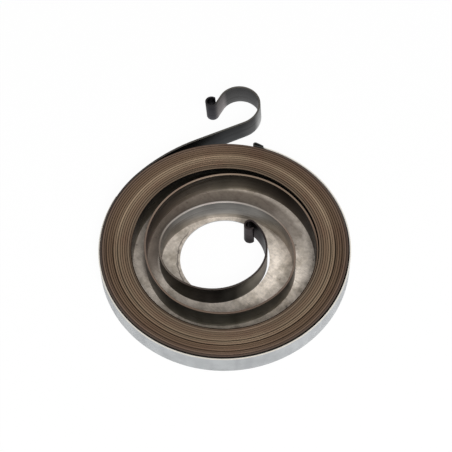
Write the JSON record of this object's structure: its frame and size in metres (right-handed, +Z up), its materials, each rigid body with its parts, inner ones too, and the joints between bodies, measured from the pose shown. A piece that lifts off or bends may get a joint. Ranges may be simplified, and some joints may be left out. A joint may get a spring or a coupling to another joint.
{
  "type": "recoil starter spring in its keeper",
  "caption": "Flat strip spiral spring, close wound in a shallow round cup with a central hole, with an outer hook and a curled inner end for a pull-cord starter.",
  "frame": {"origin": "centre of the underside of the keeper's floor, on the axis of its wall and hole", "axes": "+Z up out of the open cup, +Y towards the spring's outer hook, +X to the right of it"},
  "size_m": [0.0608, 0.0778, 0.0068],
  "materials": {
    "tempered_strip": "tempered spring steel with brown rolled edges and grey-black faces",
    "keeper_sheet": "bright plated sheet steel, lightly stained inside"
  },
  "bodies": {
    "root": {"spring_strip": "tempered_strip", "keeper": "keeper_sheet"}
  },
  "joints": []
}
